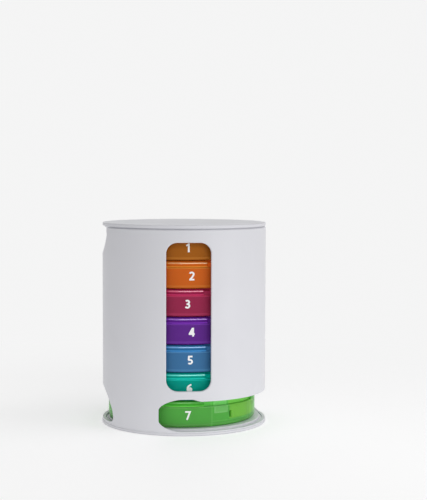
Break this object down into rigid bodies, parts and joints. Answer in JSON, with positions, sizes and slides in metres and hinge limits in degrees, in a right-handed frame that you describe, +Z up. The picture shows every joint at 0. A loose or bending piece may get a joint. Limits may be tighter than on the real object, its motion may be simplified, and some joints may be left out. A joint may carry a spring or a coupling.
{
  "type": "weekly pill tower",
  "caption": "Round tabletop tower that stores stacked daily pill boxes behind a tall window and gives out the lowest one through a slot at its foot.",
  "frame": {"origin": "centre of the foot disc on the surface it stands on", "axes": "+Z up along the tube's axis, -Y out through the window, the lowest box leaves 50 degrees from -Y towards +X"},
  "size_m": [0.1058, 0.1058, 0.1287],
  "materials": {
    "housing": "satin white moulded shell",
    "cap": "satin white moulded disc",
    "spring": "frosted natural plastic",
    "pin": "natural plastic",
    "tint_1": "tinted translucent, polished",
    "tint_2": "tinted translucent, polished",
    "tint_3": "tinted translucent, polished",
    "tint_4": "tinted translucent, polished",
    "tint_5": "tinted translucent, polished",
    "tint_6": "tinted translucent, polished",
    "tint_7": "tinted translucent, polished"
  },
  "bodies": {
    "housing": {"housing_shell": "housing", "base_plate": "housing"},
    "cap": {"top_cap": "cap"},
    "tray_1": {"tray_1_body": "tint_1", "tray_1_clip": "spring", "tray_1_rivet": "pin"},
    "tray_1_lid": {"tray_1_lid": "tint_1"},
    "tray_2": {"tray_2_body": "tint_2", "tray_2_clip": "spring", "tray_2_rivet": "pin"},
    "tray_2_lid": {"tray_2_lid": "tint_2"},
    "tray_3": {"tray_3_body": "tint_3", "tray_3_clip": "spring", "tray_3_rivet": "pin"},
    "tray_3_lid": {"tray_3_lid": "tint_3"},
    "tray_4": {"tray_4_body": "tint_4", "tray_4_clip": "spring", "tray_4_rivet": "pin"},
    "tray_4_lid": {"tray_4_lid": "tint_4"},
    "tray_5": {"tray_5_body": "tint_5", "tray_5_clip": "spring", "tray_5_rivet": "pin"},
    "tray_5_lid": {"tray_5_lid": "tint_5"},
    "tray_6": {"tray_6_body": "tint_6", "tray_6_clip": "spring", "tray_6_rivet": "pin"},
    "tray_6_lid": {"tray_6_lid": "tint_6"},
    "tray_7": {"tray_7_body": "tint_7", "tray_7_clip": "spring", "tray_7_rivet": "pin"},
    "tray_7_lid": {"tray_7_lid": "tint_7"}
  },
  "joints": [
    {"name": "cap_lift", "type": "slide", "parent": "housing", "child": "cap", "axis": [0, 0, 1], "range_m": [0, 0.06]},
    {"name": "tray_1_turn", "type": "hinge", "parent": "housing", "child": "tray_1", "pos_m": [0, 0, 0.1069], "axis": [0, 0, 1], "continuous": true},
    {"name": "tray_2_turn", "type": "hinge", "parent": "housing", "child": "tray_2", "pos_m": [0, 0, 0.0897], "axis": [0, 0, 1], "continuous": true},
    {"name": "tray_3_turn", "type": "hinge", "parent": "housing", "child": "tray_3", "pos_m": [0, 0, 0.0725], "axis": [0, 0, 1], "continuous": true},
    {"name": "tray_4_turn", "type": "hinge", "parent": "housing", "child": "tray_4", "pos_m": [0, 0, 0.0553], "axis": [0, 0, 1], "continuous": true},
    {"name": "tray_5_turn", "type": "hinge", "parent": "housing", "child": "tray_5", "pos_m": [0, 0, 0.0381], "axis": [0, 0, 1], "continuous": true},
    {"name": "tray_6_turn", "type": "hinge", "parent": "housing", "child": "tray_6", "pos_m": [0, 0, 0.0209], "axis": [0, 0, 1], "continuous": true},
    {"name": "tray_7_slide", "type": "slide", "parent": "housing", "child": "tray_7", "axis": [0.766, -0.6428, 0], "range_m": [0, 0.105]},
    {"name": "tray_1_lid_turn", "type": "hinge", "parent": "tray_1", "child": "tray_1_lid", "pos_m": [0, 0, 0.1239], "axis": [0, 0, 1], "continuous": true},
    {"name": "tray_2_lid_turn", "type": "hinge", "parent": "tray_2", "child": "tray_2_lid", "pos_m": [0, 0, 0.1067], "axis": [0, 0, 1], "continuous": true},
    {"name": "tray_3_lid_turn", "type": "hinge", "parent": "tray_3", "child": "tray_3_lid", "pos_m": [0, 0, 0.0895], "axis": [0, 0, 1], "continuous": true},
    {"name": "tray_4_lid_turn", "type": "hinge", "parent": "tray_4", "child": "tray_4_lid", "pos_m": [0, 0, 0.0723], "axis": [0, 0, 1], "continuous": true},
    {"name": "tray_5_lid_turn", "type": "hinge", "parent": "tray_5", "child": "tray_5_lid", "pos_m": [0, 0, 0.0551], "axis": [0, 0, 1], "continuous": true},
    {"name": "tray_6_lid_turn", "type": "hinge", "parent": "tray_6", "child": "tray_6_lid", "pos_m": [0, 0, 0.0379], "axis": [0, 0, 1], "continuous": true},
    {"name": "tray_7_lid_turn", "type": "hinge", "parent": "tray_7", "child": "tray_7_lid", "pos_m": [-0.00144, 0.00121, 0.0207], "axis": [0, 0, 1], "continuous": true}
  ]
}
